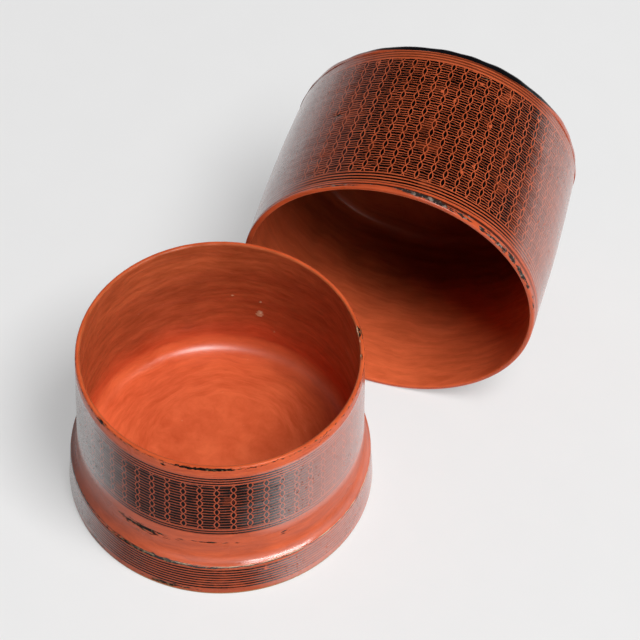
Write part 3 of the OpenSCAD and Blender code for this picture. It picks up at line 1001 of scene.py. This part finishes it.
# %% Base: underside coat
under_edge = base_out(UNDER_Z) - 2 * COAT
under_foot = base_out(FOOT_BARE) - 2 * COAT
under_face = [(0, UNDER_Z), (under_edge, UNDER_Z), (under_foot, FOOT_BARE)]
under_back = [(under_foot + COAT, FOOT_BARE), (under_edge + COAT, UNDER_Z + COAT), (0, UNDER_Z + COAT)]

bm = turned(under_face, under_back, spacing=2 * MM)
wear(bm, [], RIM_R)
roughen(bm, coil=0.1 * MM, dent=0.1 * MM, pitch=5 * MM, seed=13.0)
unwrap(bm)
finish_piece("base_underside_coat", bm, [black_coat], "base", "base_underside_lacquer")

# %% [markdown]
# ## Inside the cover
# The cover's inside is made as the base's is: wall, soft corner and flat top, in one plain coat. It is
# drawn standing on its mouth, and bent and laid on its side at the end, as all pieces of the cover are.

# %% Cover: inside coat
TOP_CORNER_Z = CEILING_Z - TOP_CORNER_R
TOP_CORNER = (lid_in(TOP_CORNER_Z) - TOP_CORNER_R / math.cos(DRAFT), TOP_CORNER_Z)
lid_face = [(lid_in(MOUTH_HOOP_H), MOUTH_HOOP_H)]
lid_face += arc(TOP_CORNER, TOP_CORNER_R, DRAFT, math.pi / 2)
lid_face += [(0, CEILING_Z)]
lid_back = [(0, CEILING_Z + COAT)]
lid_back += arc(TOP_CORNER, TOP_CORNER_R + COAT, math.pi / 2, DRAFT)
lid_back += [(lid_in(MOUTH_HOOP_H) + COAT, MOUTH_HOOP_H)]

bm = turned(lid_face, lid_back)
wear(bm, [], RIM_R)
roughen(bm, coil=0.22 * MM, dent=0.15 * MM, pitch=5 * MM, seed=17.0)
unwrap(bm)
lay_aside(bm)
finish_piece("cover_inside_coat", bm, [lid_inside_coat], "cover", "cover_inner_lining")

# %% [markdown]
# ## Outside of the cover
# The engraved coat lies between the two hoops. Drips and mends stand on it as small orange blobs, and a
# few places are rubbed through to the black. The section is one straight line, because the hoops end it.

# %% Cover: outside coat


def round_cover(arc_mm):
    """Degrees of a mark that lies arc_mm to the right of the cover's highest line as it lies."""
    return -90 + math.degrees(arc_mm * MM / lid_out(COVER_H / 2))


cover_face = [(lid_out(MOUTH_HOOP_H), MOUTH_HOOP_H), (lid_out(TOP_HOOP_Z), TOP_HOOP_Z)]
cover_back = [(r - COAT, z) for r, z in reversed(cover_face)]
cover_marks = [(round_cover(arc_mm), *sizes) for arc_mm, *sizes in [
    (27, 96, 3, 1.0, 0.8), (-46, 58, 2.5, 1.4, 0.6), (-69, 49, 2, 1, 0.6), (49, 24, 2, 1, 0.5),
    (15, 73, 0.9, 1.6, -0.9), (37, 66, 0.9, 1.5, -0.9), (7, 77, 0.9, 0.9, -0.9),
    (26, 91, 2.2, 1.4, -0.65), (-33, 96, 0.9, 1.4, -0.8), (64, 91, 0.9, 1.5, -0.8),
    (72, 77, 1.6, 2.2, -0.7), (35, 35, 0.8, 1.6, -0.8), (30, 27, 0.9, 1.6, -0.8),
    (72, 32, 1.2, 1.2, -0.7)]]

bm = turned(cover_face, cover_back, start=MOUTH_HOOP_H)
wear(bm, cover_marks, lid_out(COVER_H / 2))
roughen(bm, coil=0.05 * MM, dent=0.15 * MM, chip=0.12 * MM, seed=19.0)
unwrap(bm)
lay_aside(bm)
finish_piece(
    "cover_engraved_coat", bm, [cover_engraved], "cover", "cover_outer_lacquer")

# %% [markdown]
# ## Lip of the cover
# The cover's lip is knocked more than the base's: long chips have taken the coat off its outer edge. As
# on the base, the section is a closed loop, and the inner face has the inside's coat.

# %% Cover: lip
lid_lip_face = [(lid_in(MOUTH_HOOP_H), MOUTH_HOOP_H)]
lid_lip_face += arc((lid_in(LIP_ROUND) + LIP_ROUND, LIP_ROUND), LIP_ROUND, math.pi, 1.5 * math.pi, 6)
lid_lip_r = LIE_R - LIP_ROUND * SLOPE - LIP_ROUND
lid_lip_face += arc((lid_lip_r, LIP_ROUND), LIP_ROUND, 1.5 * math.pi, math.tau, 6)
lid_lip_face += [(lid_out(MOUTH_HOOP_H) + HOOP_PROUD, MOUTH_HOOP_H)]
lid_lip_marks = [(degrees, 9.0, 70, 1.0, 0.15) for degrees in range(-180, 180, 60)]
lid_lip_marks += [(round_cover(arc_mm), *sizes) for arc_mm, *sizes in [
    (12, 9.0, 8, 1.0, 0.75), (25, 8.4, 5, 0.9, 0.7), (-32, 8.0, 10, 0.5, 0.8), (38, 7.8, 5, 0.7, 0.6),
    (74, 7.4, 9, 0.9, 0.7), (90, 7.2, 7, 0.9, 0.65), (56, 7.6, 8, 0.7, 0.6), (110, 7.2, 6, 0.8, 0.5)]]

bm = turned(lid_lip_face, [], spacing=0.6 * MM, turns=720)
wear(bm, lid_lip_marks, LIE_R)
roughen(bm, dent=0.12 * MM, chip=0.25 * MM, seed=23.0)
unwrap(bm)
lined(bm)
lay_aside(bm)
finish_piece(
    "cover_lip", bm, [lid_lip_coat, lid_inside_coat], "cover", "cover_mouth_hoop")

# %% [markdown]
# ## Top of the cover
# A hoop rounds the edge of the top. Its black was wiped on over vermilion by hand, so it is lumpy and
# ends in an uneven line. The lumps are soft dents of a centimetre, in a finer mesh than the walls have.

# %% Cover: top edge
top_edge_z = COVER_H - TOP_ROUND
top_edge_r = lid_out(top_edge_z) + HOOP_PROUD - TOP_ROUND
top_inner = lid_in(COVER_H) + COAT
edge_face = [(lid_out(TOP_HOOP_Z) + HOOP_PROUD, TOP_HOOP_Z)]
edge_face += arc((top_edge_r, top_edge_z), TOP_ROUND, 0, math.pi / 2, 8)
edge_face += [(top_inner, COVER_H)]
edge_back = [(lid_in(TOP_HOOP_Z) + COAT, TOP_HOOP_Z)]

bm = turned(edge_face, edge_back, spacing=0.8 * MM, turns=480)
wear(bm, [], LIE_R)
roughen(bm, dent=0.6 * MM, lump=11 * MM, seed=29.0)
unwrap(bm)
lay_aside(bm)
finish_piece("cover_top_edge", bm, [black_edge], "cover", "cover_top_hoop")

# %% [markdown]
# ## The black top
# The flat top is black all over. A cover is set down on its top when it comes off, so the black is worn
# through to red-brown in short marks near the rim and a few further in. The photo doesn't show this face,
# so the marks are a guess. They are a matter of colour alone.

# %% Cover: top coat
top_face = [(0, COVER_H), (top_inner, COVER_H)]
top_back = [(top_inner, COVER_H - COAT), (0, COVER_H - COAT)]
top_marks = [
    (20, 74, 9, 1.2, 0.9), (75, 76, 14, 1.0, 0.9),
    (160, 75, 10, 1.3, 0.9), (235, 76, 12, 0.9, 0.9),
    (310, 73, 5, 1.6, 0.8), (130, 52, 3, 1.5, 0.8),
    (280, 38, 4, 1.0, 0.8), (45, 30, 2, 1.2, 0.8)]

bm = turned(top_face, top_back, spacing=2 * MM)
wear(bm, top_marks, LIE_R)
roughen(bm, coil=0.1 * MM, dent=0.15 * MM, pitch=5 * MM, seed=31.0)
unwrap(bm)
lay_aside(bm)
finish_piece("cover_top_coat", bm, [black_coat], "cover", "cover_top_lacquer")

# %% [markdown]
# ## Coiled bamboo
# Under the coats lies coiled bamboo. It hardly shows, only on the bare edge of the foot. Bamboo strip has
# fibres along its length and a seam at every turn, so its noise is stretched round the box.

# %% Bamboo material
STRIP = 4 * MM
SEAM_SHARE = 0.07
SEAM_KEEPS = 0.55
# For each metre, so a fibre is some 17 mm long and 0.8 mm wide, coarser than a real one so that it shows
FIBRES = (60, 60, 1200)

# Split bamboo, coiled: silky straw colour with darker seams, and fibres that catch a little light
bamboo, tree = new_material("bamboo_strip_coiled")
spot = add(tree, "TexCoord", out="Object")
height = add(tree, "SeparateXYZ", {0: spot}, out=2)
turn_seam = add(tree, "Math", {0: height, 1: 1 / STRIP}, operation="MULTIPLY")
turn_seam = add(tree, "Math", {0: turn_seam, 1: 0.5}, operation="PINGPONG")
fibre = add(tree, "VectorMath", {0: spot, 1: FIBRES}, operation="MULTIPLY")
fibre = add(tree, "TexNoise", {"Vector": fibre, "Scale": 1.0, "Detail": 4.0})
straw = add(tree, "Mix", {0: fibre, 6: linear("#8C6637"), 7: linear("#CBA468")}, **BLEND)
seam = add(tree, "MapRange", {0: turn_seam, 1: 0.0, 2: SEAM_SHARE, 3: SEAM_KEEPS, 4: 1.0})
straw = add(tree, "Mix", {0: seam, 6: linear("#4E361D"), 7: straw}, **BLEND)
rough = add(tree, "MapRange", {0: fibre, 1: NOISE_LOW, 2: NOISE_HIGH, 3: 0.5, 4: 0.7})
bump = add(tree, "Bump", {"Strength": 0.6, "Distance": 0.2 * MM, "Height": fibre})
shader = add(tree, "BsdfPrincipled", {"Base Color": straw, "Roughness": rough, "Normal": bump})
add(tree, "OutputMaterial", {"Surface": shader})
print(bamboo.name, "has a seam every", round(STRIP / MM), "mm")

# %% [markdown]
# ## Ash putty
# Putty of ash and lacquer fills the inside corners, so that the coat runs round them without a crack. It
# is pressed in and smoothed with a finger or a trowel, and stays grey-brown and dull. Plain noise makes
# its grit.

# %% Putty material
PUTTY_GRIT = 0.8 * MM

# Trowelled putty: a flat earth colour without gloss, with fine grit
putty, tree = new_material("ash_putty_trowelled")
spot = add(tree, "TexCoord", out="Object")
grit = add(tree, "TexNoise", {"Vector": spot, "Scale": 1 / PUTTY_GRIT, "Detail": 5.0})
earth = add(tree, "Mix", {0: grit, 6: linear("#3A312A"), 7: linear("#5C5046")}, **BLEND)
rough = add(tree, "MapRange", {0: grit, 1: NOISE_LOW, 2: NOISE_HIGH, 3: 0.75, 4: 0.9})
bump = add(tree, "Bump", {"Strength": 0.7, "Distance": 0.2 * MM, "Height": grit})
shader = add(tree, "BsdfPrincipled", {"Base Color": earth, "Roughness": rough, "Normal": bump})
add(tree, "OutputMaterial", {"Surface": shader})
print(putty.name, "has grit of", round(PUTTY_GRIT / MM, 1), "mm")

# %% [markdown]
# ## Dressing the core
# The base's core is straight, so its CAD nodes stay as they are and only get these materials. The cover's
# core has to follow the bend of the coats round it. A CAD node is never changed, so a copy of its mesh is
# merged, bent and shown. The long faces of the wall have points only at their ends, so the copy is first
# cut across at steps of its height.

# %% Core pieces
for node in ("base_wall", "base_floor", "base_foot_ring", "base_corner_putty"):
    material = putty if node.endswith("putty") else bamboo
    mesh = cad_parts[node].data
    mesh.materials.clear()
    mesh.materials.append(material)

CUTS = 12
STANDING = LAID_ASIDE.inverted()
for node, material, slot in (
        ("cover_wall", bamboo, "coiled_bamboo"), ("cover_top_disc", bamboo, "coiled_bamboo"),
        ("cover_corner_putty", putty, "ash_putty")):
    bm = bmesh.new()
    bm.from_mesh(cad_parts[node].data)
    bmesh.ops.remove_doubles(bm, verts=bm.verts, dist=MERGE)
    bmesh.ops.transform(bm, matrix=STANDING, verts=bm.verts)
    for i in range(1, CUTS):
        everything = bm.verts[:] + bm.edges[:] + bm.faces[:]
        bmesh.ops.bisect_plane(bm, geom=everything, plane_co=(0, 0, COVER_H * i / CUTS), plane_no=(0, 0, 1))
    bmesh.ops.recalc_face_normals(bm, faces=bm.faces)
    lay_aside(bm)
    finish_piece(node + "_bent", bm, [material], "cover", node)

# %% [markdown]
# ## Floor
# The box lies on a plain pale table that runs on to the horizon: a wide sheet of matt card. Light falls
# off towards its corners, which a photographer evens out. Here half of what the eye sees of the card is
# an even tone of its own, and the other half is lit and keeps the box's shadow. Light Path tells the rays
# that reach the eye, straight or by a mirror, from those that only carry light.

# %% Floor
FLOOR_HALF = 6.0
FLOOR_DROP = 0.2 * MM
FLECK = 25 * MM
PALE = "#EBEBEB"
EVEN = 0.5


def seen_rays(tree):
    """A mask that is 1 for rays that end in the eye, straight, by a mirror or through glass."""
    path = add(tree, "LightPath").node
    straight = path.outputs["Is Camera Ray"]
    seen = add(tree, "Math", {0: straight, 1: path.outputs["Is Glossy Ray"]}, operation="MAXIMUM")
    return add(tree, "Math", {0: seen, 1: path.outputs["Is Transmission Ray"]}, operation="MAXIMUM")


# Matt card, plain: a flat pale grey without gloss, with hardly visible clouds
card, tree = new_material("matt_card_plain")
spot = add(tree, "TexCoord", out="Object")
fleck = add(tree, "TexNoise", {"Vector": spot, "Scale": 1 / FLECK, "Detail": 2.0})
sheet_colour = add(tree, "Mix", {0: fleck, 6: linear("#E9E9E9"), 7: linear("#EDEDED")}, **BLEND)
even = add(tree, "Math", {0: seen_rays(tree), 1: EVEN}, operation="MULTIPLY")
lit = add(tree, "BsdfDiffuse", {"Color": sheet_colour})
plain = add(tree, "Emission", {"Color": linear(PALE), "Strength": 1.0})
add(tree, "OutputMaterial", {"Surface": add(tree, "MixShader", {0: even, 1: lit, 2: plain})})

bm = bmesh.new()
bmesh.ops.create_grid(bm, x_segments=1, y_segments=1, size=FLOOR_HALF)
bmesh.ops.translate(bm, verts=bm.verts, vec=(0, 0, -FLOOR_DROP))
floor_mesh = bpy.data.meshes.new("floor")
bm.to_mesh(floor_mesh)
bm.free()
floor_mesh.materials.append(card)
floor = bpy.data.objects.new("floor", floor_mesh)
bpy.context.scene.collection.objects.link(floor)
print("floor", 2 * FLOOR_HALF, "m wide")

# %% [markdown]
# ## Surroundings
# The world gives a weak light from all sides. To the eye and in reflections it is pale near the horizon
# and dim above, as in a studio with a dark ceiling, because a gloss that mirrors a white sky would wash
# out the black of the engraving.

# %% World
FILL = 0.06
DARK_ABOVE = 0.15
PALE_BELOW = 0.1
DARK_FROM = 0.3
world = bpy.data.worlds.new("studio")
bpy.context.scene.world = world
world.use_nodes = True
tree = world.node_tree
tree.nodes.clear()
upwards = add(tree, "SeparateXYZ", {0: add(tree, "TexCoord", out="Generated")}, out=2)
pale_share = add(tree, "MapRange", {0: upwards, 1: PALE_BELOW, 2: DARK_FROM, 3: 1.0, 4: DARK_ABOVE})
dim = add(tree, "Background", {"Color": (1, 1, 1, 1), "Strength": FILL})
pale = add(tree, "Background", {"Color": linear(PALE), "Strength": pale_share})
add(tree, "OutputWorld", {"Surface": add(tree, "MixShader", {0: seen_rays(tree), 1: dim, 2: pale})})
print("fill light", FILL, "from all sides, seen as", PALE, "near the horizon")

# %% [markdown]
# ## Light
# One large soft box hangs overhead, to the right and a little in front, and gives the soft shadow on the
# left. A low strip lamp in front on the right draws the long highlight on the shoulder, and a weak one
# behind lifts the far edges. Together they light white to about white, no more.

# %% Lamps


def soft_box(name, size, place, aim, watts):
    """An area lamp, (width, height) in size, that faces a point."""
    lamp = bpy.data.lights.new(name, "AREA")
    lamp.shape = "RECTANGLE"
    lamp.size, lamp.size_y = size
    lamp.energy = watts
    holder = bpy.data.objects.new(name, lamp)
    holder.location = place
    holder.rotation_euler = (Vector(aim) - Vector(place)).to_track_quat("-Z", "Y").to_euler()
    bpy.context.scene.collection.objects.link(holder)


MIDDLE = (0.03, 0.06, 0.05)
soft_box("overhead_box", (2.2, 2.2), (1.9, -1.1, 4.35), MIDDLE, 242)
soft_box("front_strip", (1.5, 0.12), (1.53, -1.2, 0.45), MIDDLE, 9)
soft_box("rim_box", (1.0, 1.0), (-1.5, 1.3, 0.8), MIDDLE, 2)

# %% [markdown]
# ## Camera
# The camera stands far off with a long lens, so the circles of the box are nearly true ellipses. It looks
# down by 51 degrees and is turned a little to the right of the base's front. Its place was found by
# fitting circles to the outlines.

# %% Camera
CAMERA_AT = Vector((0.3351, -1.1273, 1.6006))
CAMERA_AIM = Vector((0.02444, 0.11339, 0.0))
CAMERA_ROLL = math.radians(1.433)
LENS = 207.34

camera_data = bpy.data.cameras.new("camera")
camera_data.lens = LENS
camera_data.sensor_width = 36
camera = bpy.data.objects.new("camera", camera_data)
bpy.context.scene.collection.objects.link(camera)
aim = (CAMERA_AIM - CAMERA_AT).to_track_quat("-Z", "Y").to_matrix().to_4x4()
camera.matrix_world = Matrix.Translation(CAMERA_AT) @ aim @ Matrix.Rotation(CAMERA_ROLL, 4, "Z")
bpy.context.scene.camera = camera
bpy.context.scene.view_settings.view_transform = "Standard"
print("camera", round((CAMERA_AIM - CAMERA_AT).length, 2), "m from its aim")
